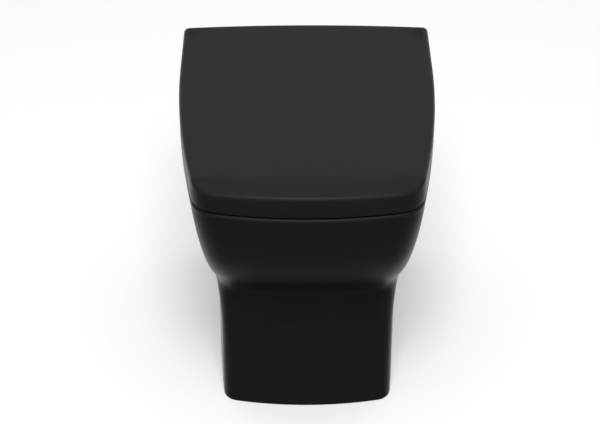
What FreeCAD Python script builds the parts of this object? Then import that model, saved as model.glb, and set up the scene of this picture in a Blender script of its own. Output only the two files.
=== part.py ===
"""Back-to-wall toilet pan with a soft-close seat and a wrap-over lid.

Millimetres. +Z is up, the front of the pan faces -Y and its flat back stands against a wall at +Y.
The origin is on the floor, in the middle of the pan's footprint.
"""

import FreeCAD, Part
import math
import os
import Sketcher
from FreeCAD import Vector

SIZES = {
    # pan, outside
    "rim_height": 400, "rim_width": 360, "projection": 490,
    "rim_front_radius": 583, "rim_corner_radius": 45, "rim_side_radius": 1512, "rim_bow_length": 330,
    "rim_round": 6, "crease_height": 200, "pedestal_top": 140,
    "pedestal_width": 264, "pedestal_setback": 98,
    "pedestal_front_radius": 500, "pedestal_corner_radius": 24, "pedestal_side_radius": 2000,
    # pan, inside
    "china_wall": 12, "deck_thickness": 24, "basin_wall": 10,
    "basin_width": 266, "basin_length": 288, "basin_front_ledge": 42, "basin_corner": 97,
    "basin_floor": 118, "basin_round": 5, "trap_bore": 58, "trap_wall": 9, "weir_height": 222,
    "weir_behind_basin": 30, "trap_weir_bend": 46, "trap_low_bend": 42, "sump_reach": 40,
    "outlet_height": 180, "outlet_diameter": 102, "outlet_recess": 15, "outlet_length": 34,
    "outlet_wall": 9, "inlet_height": 335, "inlet_bore": 55, "inlet_wall": 9, "inlet_depth": 34,
    "inlet_recess": 105, "flush_hole": 36, "seal_wall": 5, "seal_lip": 2,
    # floor fixing
    "bracket_width": 40, "bracket_depth": 54, "bracket_height": 75, "bracket_plate": 8,
    "bracket_from_wall": 65, "floor_hole": 7, "floor_hole_inset": 34, "side_fixing_height": 45,
    "side_hole": 16, "side_screw": 6, "side_screw_head": 11, "cap_diameter": 20, "cap_thickness": 2,
    "bracket_round": 4, "sleeve_length": 7.3, "side_screw_length": 30, "side_head_height": 3.6,
    # lid
    "lid_length": 446, "lid_lift": 2.5, "lid_over_hub": 6.6, "lid_crown": 4.5, "lid_wall": 5,
    "lid_plate": 4.5, "lid_round": 4, "lid_back_corner": 8,
    "lid_rear_edge": 2, "pad_depth": 4, "boss_drop": 1.8, "boss_root": 2.2, "boss_margin": 1,
    # seat
    "seat_lift": 6, "seat_thickness": 17, "seat_gap": 2.5, "seat_round": 5, "seat_opening_width": 214,
    "seat_opening_length": 272, "seat_front_bar": 62, "seat_opening_corner": 92,
    "seat_under_round": 2, "seat_behind": 12, "buffer_diameter": 14, "rest_gap": 0.3,
    "buffer_spread": 140, "buffer_front": 90, "buffer_rear": 330,
    # hinges
    "axis_height": 27, "axis_from_back": 15, "fixing_centres": 155, "post_width": 22, "hub_radius": 7.4,
    "stem_front": 36, "stem_back": 20, "arm_drop": 4, "base_thickness": 3.5, "gasket_thickness": 1,
    "base_radius": 10.8, "deck_hole": 14, "stud_diameter": 6, "lug_width": 16, "side_play": 0.5,
    "shaft_diameter": 7, "damper_diameter": 10.4, "fit": 0.05, "leaf": 3, "leaf_length": 50,
    "hinge_screw": 4, "hinge_screw_head": 7, "notch_play": 3, "notch_ahead": 4, "post_gap_rise": 0.8,
    "screw_from_tip": 8, "seat_screw_ahead": 12, "lid_screw_ahead": 21, "screw_end_gap": 0.2,
    "screw_head_height": 1.5, "seat_screw_depth": 11, "lid_screw_depth": 3, "stud_in_post": 12,
    "bung_tail": 10, "nut_height": 8, "nut_taper": 1.5, "stud_tail": 3, "post_round": 2,
    "damper_grip": 11,
    # how far a cutting shape runs past the surface that it cuts
    "spare": 1,
}

# Shape of the pan's flank between the crease and the rim: height, flare towards the rim width and
# setback towards the pedestal's front, each as a share of the whole.
FLANK = ((0.88, 0.948, 0.03), (0.70, 0.822, 0.12), (0.50, 0.634, 0.31), (0.31, 0.435, 0.59),
         (0.15, 0.26, 0.86), (0, 0.115, 0.97))

# Shape of the basin: height above its floor, width, and how far its front edge has moved back.
BASIN = ((1, 1, 0), (0.91, 1, 0), (0.75, 0.96, 0.03), (0.57, 0.85, 0.13), (0.40, 0.67, 0.31),
         (0.24, 0.48, 0.52), (0.11, 0.35, 0.66), (0, 0.29, 0.74))

doc = FreeCAD.newDocument("toilet")
dims = doc.addObject("Spreadsheet::Sheet", "dims")
for row, (alias, number) in enumerate(SIZES.items(), start=1):
    dims.set(f"A{row}", alias)
    dims.set(f"B{row}", str(number))
    dims.setAlias(f"B{row}", alias)
doc.recompute()

nodes = []


def bound(formula):
    """The formula as an expression on the sheet: every size name in it gets the sheet's name."""
    words = []
    word = ""
    for letter in formula + " ":
        if letter.isalnum() or letter in "_.":
            word += letter
            continue
        words.append("dims." + word if word in SIZES else word)
        words.append(letter)
        word = ""
    return "".join(words).strip()


def size(formula):
    """The formula's present value in millimetres."""
    return float(dims.evalExpression(bound(formula)))


def keep(obj, label):
    """Give a finished sub-part its name and put it on the list of nodes."""
    obj.Label = label
    nodes.append(obj)
    return obj


# ---------------------------------------------------------------- sketches

def sketch_on(body, name, plane="XY_Plane", offset="0"):
    """An empty sketch on one of the body's own origin planes, moved along its normal."""
    sketch = body.newObject("Sketcher::SketchObject", name)
    support = [f for f in body.Origin.OriginFeatures if f.Role == plane][0]
    sketch.AttachmentSupport = [(support, "")]
    sketch.MapMode = "FlatFace"
    sketch.setExpression("AttachmentOffset.Base.z", bound(offset))
    return sketch


def fix(sketch, kind, *refs):
    """Add a constraint whose last reference is the formula that sets it."""
    *refs, formula = refs
    index = sketch.addConstraint(Sketcher.Constraint(kind, *refs, size(formula)))
    sketch.setExpression(f"Constraints[{index}]", bound(formula))


def place(sketch, curve, end, x, y):
    """Hold a curve's end (1 start, 2 end, 3 centre) at x, y from the sketch's origin."""
    fix(sketch, "DistanceX", -1, 1, curve, end, x)
    fix(sketch, "DistanceY", -1, 1, curve, end, y)


def arc(centre, radius, start, end):
    """An arc round a centre, anticlockwise between two angles."""
    circle = Part.Circle(Vector(*centre, 0), Vector(0, 0, 1), radius)
    return Part.ArcOfCircle(circle, start, end)


def line(start, end):
    """A straight side between two points of the sketch."""
    return Part.LineSegment(Vector(*start, 0), Vector(*end, 0))


def circles(sketch, spots, diameter):
    """A circle of one diameter at each x, y."""
    for x, y in spots:
        circle = Part.Circle(Vector(size(x), size(y), 0), Vector(0, 0, 1), size(diameter) / 2)
        curve = sketch.addGeometry(circle)
        place(sketch, curve, 3, x, y)
        fix(sketch, "Diameter", curve, diameter)
    return sketch


def polygon(sketch, points):
    """A closed outline of straight sides through the x, y formulas."""
    spots = [(size(x), size(y)) for x, y in points]
    first = sketch.GeometryCount
    last = first + len(points) - 1
    for index, spot in enumerate(spots):
        sketch.addGeometry(line(spot, spots[(index + 1) % len(spots)]))
    for curve, (x, y) in zip(range(first, last + 1), points):
        place(sketch, curve, 1, x, y)
        following = curve + 1 if curve < last else first
        sketch.addConstraint(Sketcher.Constraint("Coincident", curve, 2, following, 1))
    return sketch


def rectangle(sketch, low_x, low_y, high_x, high_y):
    """A rectangle between two corners."""
    return polygon(sketch, [(low_x, low_y), (high_x, low_y), (high_x, high_y), (low_x, high_y)])


def plan_outline(body, name, height, half, front, back, straight, radii):
    """Plan of the pan, seat or lid: shallow front arc, two corners, bowed sides, straight rear sides.

    radii holds the formulas of the front, corner and side radius. straight is how far the straight
    sides run forward from the back before they start to bow in.
    """
    sketch = sketch_on(body, name, offset=height)
    w, y_front, y_back, y_bow = size(half), size(front), size(back), size(back) - size(straight)
    front_r, corner_r, side_r = (size(radius) for radius in radii)
    front_c = Vector(0, y_front + front_r, 0)
    side_c = Vector(w - side_r, y_bow, 0)
    reach_front, reach_side = front_r - corner_r, side_r - corner_r
    gap = side_c - front_c
    along = (reach_front ** 2 - reach_side ** 2 + gap.Length ** 2) / (2 * gap.Length)
    across = math.sqrt(reach_front ** 2 - along ** 2)
    unit = gap / gap.Length
    corner_c = front_c + unit * along + Vector(-unit.y, unit.x, 0) * across
    to_front = corner_c - front_c
    to_side = corner_c - side_c
    a_front = math.atan2(to_front.y, to_front.x)
    a_side = math.atan2(to_side.y, to_side.x)
    sketch.addGeometry([
        arc((0, front_c.y), front_r, math.pi - a_front, 2 * math.pi + a_front),
        arc((corner_c.x, corner_c.y), corner_r, a_front, a_side),
        arc((side_c.x, side_c.y), side_r, a_side, 0),
        line((w, y_bow), (w, y_back)),
        line((w, y_back), (-w, y_back)),
        line((-w, y_back), (-w, y_bow)),
        arc((-side_c.x, side_c.y), side_r, math.pi, math.pi - a_side),
        arc((-corner_c.x, corner_c.y), corner_r, math.pi - a_side, math.pi - a_front),
    ])
    for one, other in ((0, 1), (1, 2), (2, 3), (5, 6), (6, 7), (7, 0)):
        sketch.addConstraint(Sketcher.Constraint("Tangent", one, 2, other, 1))
    for one, other in ((3, 4), (4, 5)):
        sketch.addConstraint(Sketcher.Constraint("Coincident", one, 2, other, 1))
    for curve in (3, 5):
        sketch.addConstraint(Sketcher.Constraint("Vertical", curve))
    sketch.addConstraint(Sketcher.Constraint("Horizontal", 4))
    sketch.addConstraint(Sketcher.Constraint("Equal", 1, 7))
    sketch.addConstraint(Sketcher.Constraint("Equal", 2, 6))
    sketch.addConstraint(Sketcher.Constraint("Equal", 3, 5))
    for curve, radius in zip((0, 1, 2), radii):
        fix(sketch, "Radius", curve, radius)
    place(sketch, 0, 3, "0", f"({front}) + ({radii[0]})")
    place(sketch, 3, 2, half, back)
    fix(sketch, "DistanceX", -1, 1, 5, 1, f"-({half})")
    fix(sketch, "DistanceY", -1, 1, 3, 1, f"({back}) - ({straight})")
    return sketch


def round_opening(body, name, height, half, front, back, corner):
    """A rectangle in plan with large round corners."""
    sketch = sketch_on(body, name, offset=height)
    w, low, high, r = size(half), size(front), size(back), size(corner)
    quarter = math.pi / 2
    sketch.addGeometry([
        line((-w + r, low), (w - r, low)),
        arc((w - r, low + r), r, -quarter, 0),
        line((w, low + r), (w, high - r)),
        arc((w - r, high - r), r, 0, quarter),
        line((w - r, high), (-w + r, high)),
        arc((-w + r, high - r), r, quarter, 2 * quarter),
        line((-w, high - r), (-w, low + r)),
        arc((-w + r, low + r), r, 2 * quarter, 3 * quarter),
    ])
    for curve in range(8):
        sketch.addConstraint(Sketcher.Constraint("Tangent", curve, 2, (curve + 1) % 8, 1))
    for curve, kind in ((0, "Horizontal"), (2, "Vertical"), (4, "Horizontal"), (6, "Vertical")):
        sketch.addConstraint(Sketcher.Constraint(kind, curve))
    for curve in (3, 5, 7):
        sketch.addConstraint(Sketcher.Constraint("Equal", 1, curve))
    fix(sketch, "Radius", 1, corner)
    fix(sketch, "DistanceX", -1, 1, 2, 1, half)
    fix(sketch, "DistanceX", -1, 1, 6, 1, f"-({half})")
    fix(sketch, "DistanceY", -1, 1, 0, 1, front)
    fix(sketch, "DistanceY", -1, 1, 4, 1, back)
    return sketch


# ---------------------------------------------------------------- features

def new_body(name):
    """An empty PartDesign body."""
    return doc.addObject("PartDesign::Body", name)


def pad(body, sketch, length, back_way=False, middle=False):
    """Raise a sketch along its plane's normal, the other way, or half each way."""
    feature = body.newObject("PartDesign::Pad", "pad")
    feature.Profile = sketch
    feature.SideType = "Symmetric" if middle else "One side"
    feature.Reversed = back_way
    feature.setExpression("Length", bound(length))
    return feature


def cut(body, sketch, length, up=False, middle=False):
    """Sink a sketch against its plane's normal, along it, or half each way, and see that it cuts."""
    doc.recompute()
    before = body.Shape.Volume
    feature = body.newObject("PartDesign::Pocket", "pocket")
    feature.Profile = sketch
    feature.SideType = "Symmetric" if middle else "One side"
    feature.Reversed = up
    feature.setExpression("Length", bound(length))
    doc.recompute()
    if body.Shape.Volume >= before:
        raise RuntimeError(f"{sketch.Label} cuts nothing")
    return feature


def loft(body, kind, sketches):
    """Join the sections by a smooth skin that adds to the body or is taken from it."""
    feature = body.newObject(f"PartDesign::{kind}Loft", "loft")
    feature.Profile = sketches[0]
    feature.Sections = sketches[1:]
    feature.Ruled = False
    return feature


def pipe(body, kind, profile, spine):
    """Carry a profile along a line, to add to the body or to cut it."""
    feature = body.newObject(f"PartDesign::{kind}Pipe", "pipe")
    feature.Profile = profile
    feature.Spine = spine
    return feature


def fillet(body, radius, wanted):
    """Round the edges of the body's tip whose middle point passes the test."""
    doc.recompute()
    tip = body.Tip
    names = []
    for index, edge in enumerate(tip.Shape.Edges, start=1):
        middle = edge.valueAt((edge.FirstParameter + edge.LastParameter) / 2)
        if wanted(middle, edge):
            names.append(f"Edge{index}")
    if not names:
        raise RuntimeError(f"{body.Label}: no edge to round")
    feature = body.newObject("PartDesign::Fillet", "round")
    feature.Base = (tip, names)
    feature.setExpression("Radius", bound(radius))
    return feature


def block(name, low, spans):
    """A box from its low corner and its three spans."""
    box = doc.addObject("Part::Box", name)
    for axis, formula in zip("xyz", low):
        box.setExpression(f"Placement.Base.{axis}", bound(formula))
    for side, formula in zip(("Length", "Width", "Height"), spans):
        box.setExpression(side, bound(formula))
    return box


def rod(name, start, direction, radius, length):
    """A cylinder from the middle of its first end along +X, -X, +Z or +Y."""
    turns = {"+X": (Vector(0, 1, 0), 90), "-X": (Vector(0, 1, 0), -90),
             "+Z": (Vector(0, 0, 1), 0), "+Y": (Vector(1, 0, 0), -90)}
    axis, angle = turns[direction]
    cylinder = doc.addObject("Part::Cylinder", name)
    cylinder.Placement = FreeCAD.Placement(Vector(), FreeCAD.Rotation(axis, angle))
    for letter, formula in zip("xyz", start):
        cylinder.setExpression(f"Placement.Base.{letter}", bound(formula))
    cylinder.setExpression("Radius", bound(radius))
    cylinder.setExpression("Height", bound(length))
    return cylinder


def fuse(name, shapes):
    """One solid of several shapes."""
    union = doc.addObject("Part::MultiFuse", name)
    union.Shapes = shapes
    return union


def take(name, base, tools):
    """The base with the tools cut out of it."""
    difference = doc.addObject("Part::Cut", name)
    difference.Base = base
    difference.Tool = tools[0] if len(tools) == 1 else fuse(f"{name}_tools", tools)
    return difference


def group(name, shapes):
    """Identical pieces kept as separate solids of one node."""
    bundle = doc.addObject("Part::Compound", name)
    bundle.Links = shapes
    return bundle


# ---------------------------------------------------------------- places that several pieces share

BACK = "projection / 2"
FRONT = "-projection / 2"
RIM_RADII = ("rim_front_radius", "rim_corner_radius", "rim_side_radius")
LID_BACK = f"{FRONT} + lid_length"
AXIS_Y = f"{LID_BACK} - axis_from_back"
AXIS_Z = "rim_height + axis_height"
LID_BOTTOM = "rim_height + lid_lift"
LID_TOP = f"{AXIS_Z} + hub_radius + lid_over_hub"
SEAT_BOTTOM = "rim_height + seat_lift"
SEAT_TOP = f"{SEAT_BOTTOM} + seat_thickness"
LID_PAD = f"{AXIS_Z} + hub_radius + fit"
STUD_Y = f"{AXIS_Y} - (stem_front + stem_back) / 2"
BASE_TOP = "rim_height + gasket_thickness + base_thickness"
POST_INNER = "(fixing_centres - post_width) / 2"
POST_OUTER = "(fixing_centres + post_width) / 2"
SEAT_LUG_INNER = f"{POST_INNER} - side_play - lug_width"
LID_LUG_INNER = f"{POST_OUTER} + side_play"
BASIN_BACK = f"{FRONT} + basin_front_ledge + basin_length"
BRACKET_Y = f"{BACK} - bracket_from_wall"
BRACKET_FACE = "(pedestal_width / 2 - china_wall - rest_gap)"
LID_SWING = "axis_height - lid_lift + rest_gap"
BOSS_BOTTOM = f"{LID_TOP} - lid_crown * (2 * buffer_spread / rim_width) ^ 2 - lid_plate - boss_drop"
BUFFER_SPOTS = [(x, y) for x in ("-buffer_spread", "buffer_spread")
                for y in (f"{FRONT} + buffer_front", f"{FRONT} + buffer_rear")]
SIDES = {"left": -1, "right": 1}


def sideways(side, inner, width):
    """Low X of a piece that lies from inner to inner + width on one side of the middle."""
    return inner if side > 0 else f"-({inner}) - ({width})"


# ---------------------------------------------------------------- pan

def flank_section(body, name, height, flare, setback, inset, beyond):
    """One level of the pan's outside, or of the hollow that lies inset from it."""
    half = f"pedestal_width / 2 + (rim_width - pedestal_width) / 2 * {flare} - {inset}"
    front = f"{FRONT} + pedestal_setback * {setback} + {inset}"
    front_r = f"pedestal_front_radius + (rim_front_radius - pedestal_front_radius) * {flare} - {inset}"
    sharpness = round((1 - flare) ** 3, 4)
    corner_r = f"rim_corner_radius - (rim_corner_radius - pedestal_corner_radius) * {sharpness} - {inset}"
    bow = f"(1 / pedestal_side_radius + (1 / rim_side_radius - 1 / pedestal_side_radius) * {flare})"
    radii = (front_r, corner_r, f"1 / {bow} - {inset}")
    return plan_outline(
        body, name, height, half, front, f"{BACK} + {beyond}", f"projection - rim_bow_length + {beyond}", radii)


def flank_sections(body, name, top, flank, inset, beyond):
    """Sections from the top level down the flank to the upright pedestal."""
    levels = [(top, flank[0][1], flank[0][2])]
    levels += [(f"crease_height + (rim_height - crease_height) * {share}", flare, setback)
               for share, flare, setback in flank[1:]]
    levels += [("(crease_height + pedestal_top) / 2", 0.04, 0.99), ("pedestal_top", 0, 1)]
    return [
        flank_section(body, f"{name}_{number}", height, flare, setback, inset, beyond)
        for number, (height, flare, setback) in enumerate(levels)
    ]


def basin_sections(body, name, top, wall):
    """Sections of the basin from the rim to its floor, or of its outside, one wall further out."""
    sections = []
    for number, (rise, width, moved) in enumerate(BASIN):
        height = top if number == 0 else f"basin_floor + (rim_height - basin_floor) * {rise}"
        if rise == 0:
            height = f"{height} - {wall}"
        sections.append(round_opening(
            body, f"{name}_{number}", height, f"basin_width / 2 * {width} + {wall}",
            f"{FRONT} + basin_front_ledge + basin_length * {moved} - {wall}", f"{BASIN_BACK} + {wall}",
            f"basin_corner * {width} + {wall}"))
    return sections


def trap_line(body):
    """Centre line of the trap: from the outlet forward, up over the weir and down into the sump."""
    sketch = sketch_on(body, "trap_line", "YZ_Plane")
    end = (f"{BACK} - outlet_recess", "outlet_height")
    low_centre = (f"{BACK} - outlet_recess - outlet_length", "outlet_height + trap_low_bend")
    weir_centre = (f"{BASIN_BACK} + weir_behind_basin", "weir_height - trap_weir_bend")
    sump = (f"{BASIN_BACK} - sump_reach", "basin_floor + trap_bore / 2")
    exit_at, low, weir, bottom = (
        Vector(size(y), size(z), 0) for y, z in (end, low_centre, weir_centre, sump))
    low_r, weir_r = size("trap_low_bend"), size("trap_weir_bend")
    between, down = weir - low, bottom - weir
    climb = math.atan2(between.y, between.x) - math.asin((low_r + weir_r) / between.Length) + 2 * math.pi
    fall = math.atan2(down.y, down.x) + math.asin(weir_r / down.Length) + 2 * math.pi
    right = math.pi / 2

    def on(centre, radius, angle):
        return (centre.x + radius * math.cos(angle), centre.y + radius * math.sin(angle))

    sketch.addGeometry([
        line((exit_at.x, exit_at.y), on(low, low_r, 3 * right)),
        arc((low.x, low.y), low_r, climb + right, 3 * right),
        line(on(low, low_r, climb + right), on(weir, weir_r, climb - right)),
        arc((weir.x, weir.y), weir_r, climb - right, fall - right),
        line(on(weir, weir_r, fall - right), (bottom.x, bottom.y)),
    ])
    for one, one_end, other, other_end in ((0, 2, 1, 2), (1, 1, 2, 1), (2, 2, 3, 1), (3, 2, 4, 1)):
        sketch.addConstraint(Sketcher.Constraint("Tangent", one, one_end, other, other_end))
    fix(sketch, "Radius", 1, "trap_low_bend")
    fix(sketch, "Radius", 3, "trap_weir_bend")
    for curve, curve_end, spot in ((0, 1, end), (1, 3, low_centre), (3, 3, weir_centre), (4, 2, sump)):
        place(sketch, curve, curve_end, *spot)
    return sketch


def facing_wall(body, name, y, spots, diameter):
    """Circles on an upright plane across the pan at y, whose normal points to the front."""
    return circles(sketch_on(body, name, "XZ_Plane", f"-({y})"), spots, diameter)


def make_pan():
    """The vitreous china casting: skirted outside, basin, trap, flush inlet and outlet spigot."""
    body = new_body("pan_body")
    pad(body, flank_section(body, "foot", "0", 0, 1, 0, "spare"), "pedestal_top")
    loft(body, "Additive", flank_sections(body, "outside", "rim_height", ((1, 1, 0), *FLANK), 0, "spare"))
    rim = size("rim_height")
    fillet(body, "rim_round", lambda p, _: p.z > rim - 0.01 and p.y < size(BACK))
    wall_plane = sketch_on(body, "wall_plane", "XZ_Plane", f"-({BACK})")
    rectangle(wall_plane, "-rim_width", "-spare", "rim_width", "rim_height + spare")
    cut(body, wall_plane, "2 * spare")
    loft(body, "Subtractive",
         flank_sections(body, "hollow", "rim_height - deck_thickness", FLANK, "china_wall", "spare"))
    cut(body, flank_section(body, "foot_hollow", "0", 0, 1, "china_wall", "spare"), "pedestal_top", up=True)
    loft(body, "Additive",
         basin_sections(body, "basin_outside", "rim_height - deck_thickness / 2", "basin_wall"))
    spine = trap_line(body)
    outlet_y = f"{BACK} - outlet_recess"
    outlet = [("0", "outlet_height")]
    trap_outside = facing_wall(body, "trap_outside", outlet_y, outlet, "trap_bore + 2 * trap_wall")
    pipe(body, "Additive", trap_outside, spine)
    pad(body, facing_wall(body, "spigot", outlet_y, outlet, "outlet_diameter"), "outlet_length")
    inlet_y = f"{BACK} - inlet_recess"
    inlet = [("0", "inlet_height")]
    pad(body, facing_wall(body, "inlet_boss", inlet_y, inlet, "inlet_bore + 2 * inlet_wall"),
        f"{inlet_y} - ({BASIN_BACK})")
    loft(body, "Subtractive", basin_sections(body, "basin", "rim_height", "0"))
    pipe(body, "Subtractive", facing_wall(body, "trap_inside", outlet_y, outlet, "trap_bore"), spine)
    cut(body, facing_wall(body, "spigot_bore", outlet_y, outlet, "outlet_diameter - 2 * outlet_wall"),
        "outlet_length - outlet_wall", up=True)
    cut(body, facing_wall(body, "inlet_bore", inlet_y, inlet, "inlet_bore"), "inlet_depth", up=True)
    cut(body, facing_wall(body, "flush_hole", inlet_y, inlet, "flush_hole"),
        f"{inlet_y} - ({BASIN_BACK}) + basin_wall", up=True)
    deck_holes = circles(sketch_on(body, "deck_holes", offset="rim_height"),
                         [("fixing_centres / 2", STUD_Y), ("-fixing_centres / 2", STUD_Y)], "deck_hole")
    cut(body, deck_holes, "deck_thickness + spare")
    side_holes = circles(sketch_on(body, "side_holes", "YZ_Plane"),
                         [(BRACKET_Y, "side_fixing_height")], "side_hole")
    cut(body, side_holes, "rim_width", middle=True)
    half, low = size("basin_width / 2 + spare"), size(f"{BASIN_BACK} + spare")
    fillet(body, "basin_round", lambda p, _: p.z > rim - 0.01 and abs(p.x) < half and p.y < low
           and p.y > size(f"{FRONT} + basin_front_ledge - spare"))
    keep(body, "pan")


def make_inlet_seal():
    """Rubber ring pushed into the flush inlet; the flush pipe slides into it."""
    mouth = f"{BACK} - inlet_recess"
    ring = rod("seal_ring", ("0", f"{mouth} - inlet_depth + seal_lip", "inlet_height"), "+Y",
               "inlet_bore / 2 - fit", "inlet_depth - seal_lip")
    lip = rod("seal_lip", ("0", mouth, "inlet_height"), "+Y", "inlet_bore / 2 + seal_wall", "seal_lip")
    bore = rod("seal_bore", ("0", f"{mouth} - inlet_depth", "inlet_height"), "+Y",
               "inlet_bore / 2 - seal_wall", "inlet_depth + seal_lip + spare")
    keep(take("seal", fuse("seal_blank", [ring, lip]), [bore]), "inlet_seal")


# ---------------------------------------------------------------- floor fixing

def across(name, side, inner, y, z, radius, length):
    """A cylinder that lies along X on one side, starting at inner and pointing outwards."""
    start = (f"{side} * ({inner})", y, z)
    return rod(name, start, "+X" if side > 0 else "-X", radius, length)


def make_floor_bracket(word, side):
    """Angle bracket inside the skirt: screwed to the floor, and the pan is screwed to its side."""
    body = new_body(f"bracket_{word}")
    corners = [("0", "0"), ("0", "bracket_height"), ("bracket_plate", "bracket_height"),
               ("bracket_plate", "bracket_plate"), ("bracket_depth", "bracket_plate"),
               ("bracket_depth", "0")]
    profile = sketch_on(body, "angle", "XZ_Plane", f"-({BRACKET_Y})")
    polygon(profile, [(f"{side} * ({BRACKET_FACE} - {x})", z) for x, z in corners])
    pad(body, profile, "bracket_width", middle=True)
    inner = size(f"{BRACKET_FACE} - bracket_plate")
    plate = size("bracket_plate")
    fillet(body, "bracket_round", lambda p, _: abs(abs(p.x) - inner) < 0.01 and abs(p.z - plate) < 0.01)
    floor_hole = circles(sketch_on(body, "floor_hole", offset="bracket_plate"),
                         [(f"{side} * ({BRACKET_FACE} - floor_hole_inset)", BRACKET_Y)], "floor_hole")
    cut(body, floor_hole, "bracket_plate + spare")
    side_hole = circles(sketch_on(body, "side_hole", "YZ_Plane"), [(BRACKET_Y, "side_fixing_height")],
                        "side_screw + 2 * fit")
    cut(body, side_hole, "rim_width", middle=True)
    keep(body, f"floor_bracket_{word}")


def make_side_fixings():
    """Sleeve, screw and cap that hold each side of the pan to its bracket."""
    sleeves, screws, caps = [], [], []
    for word, side in SIDES.items():
        at = (BRACKET_Y, "side_fixing_height")
        sleeve = across("sleeve", side, BRACKET_FACE, *at, "side_hole / 2 - fit", "sleeve_length")
        bore = across("bore", side, BRACKET_FACE, *at, "side_screw / 2 + fit", "sleeve_length + spare")
        sleeves.append(take(f"sleeve_{word}", sleeve, [bore]))
        seat_x = f"{BRACKET_FACE} + sleeve_length"
        shank = across("shank", side, f"{seat_x} - side_screw_length", *at, "side_screw / 2",
                       "side_screw_length")
        head = across("head", side, seat_x, *at, "side_screw_head / 2", "side_head_height")
        screws.append(fuse(f"side_screw_{word}", [shank, head]))
        disc = across("disc", side, "pedestal_width / 2 + fit", *at, "cap_diameter / 2", "cap_thickness")
        plug = across("plug", side, f"{seat_x} + fit", *at, "side_hole / 2 - fit",
                      f"pedestal_width / 2 + 2 * fit - ({seat_x})")
        hole = across("hole", side, seat_x, *at, "side_screw_head / 2 + fit",
                      f"pedestal_width / 2 - ({seat_x})")
        caps.append(take(f"cap_{word}", fuse(f"cap_blank_{word}", [disc, plug]), [hole]))
    keep(group("sleeves", sleeves), "side_sleeves")
    keep(group("screws", screws), "side_screws")
    keep(group("caps", caps), "side_caps")


# ---------------------------------------------------------------- hinges

def upright(name, side, z, radius, length):
    """A cylinder on one of the two fixing holes' centre lines, from z up."""
    return rod(name, (f"{side} * fixing_centres / 2", STUD_Y, z), "+Z", radius, length)


def make_hinge_fixings():
    """Stud, rubber bung, nut and base disc at each of the two holes in the deck."""
    studs, bungs, nuts, bases = [], [], [], []
    bore = "stud_diameter / 2 + fit"
    bung_low = "rim_height - deck_thickness - bung_tail"
    for word, side in SIDES.items():
        flange = upright("flange", side, "rim_height", "base_radius", "gasket_thickness")
        sleeve = upright("sleeve", side, bung_low, "deck_hole / 2 - fit", "deck_thickness + bung_tail")
        hole = upright("hole", side, bung_low, bore, "deck_thickness + bung_tail + gasket_thickness")
        bungs.append(take(f"bung_{word}", fuse(f"bung_blank_{word}", [flange, sleeve]), [hole]))
        cone = doc.addObject("Part::Cone", "cone")
        cone.setExpression("Placement.Base.x", bound(f"{side} * fixing_centres / 2"))
        cone.setExpression("Placement.Base.y", bound(STUD_Y))
        cone.setExpression("Placement.Base.z", bound(f"{bung_low} - nut_height"))
        cone.setExpression("Radius1", bound("deck_hole / 2 - nut_taper"))
        cone.setExpression("Radius2", bound("deck_hole / 2 - fit"))
        cone.setExpression("Height", bound("nut_height"))
        nuts.append(take(f"nut_{word}", cone,
                         [upright("thread", side, f"{bung_low} - nut_height", bore, "nut_height")]))
        stud_low = f"{bung_low} - nut_height - stud_tail"
        studs.append(upright(f"stud_{word}", side, stud_low, "stud_diameter / 2",
                             f"{BASE_TOP} + stud_in_post - ({stud_low})"))
        disc = upright("disc", side, "rim_height + gasket_thickness", "base_radius", "base_thickness")
        bases.append(take(f"base_{word}", disc,
                          [upright("hole", side, "rim_height + gasket_thickness", bore, "base_thickness")]))
    keep(group("bungs", bungs), "fixing_bungs")
    keep(group("nuts", nuts), "bung_nuts")
    keep(group("studs", studs), "hinge_studs")
    keep(group("bases", bases), "hinge_bases")


def bore_along_axis(body, name, diameter):
    """A hole right through the body on the hinge axis."""
    sketch = circles(sketch_on(body, name, "YZ_Plane"), [(AXIS_Y, AXIS_Z)], diameter)
    return cut(body, sketch, "rim_width", middle=True)


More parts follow.
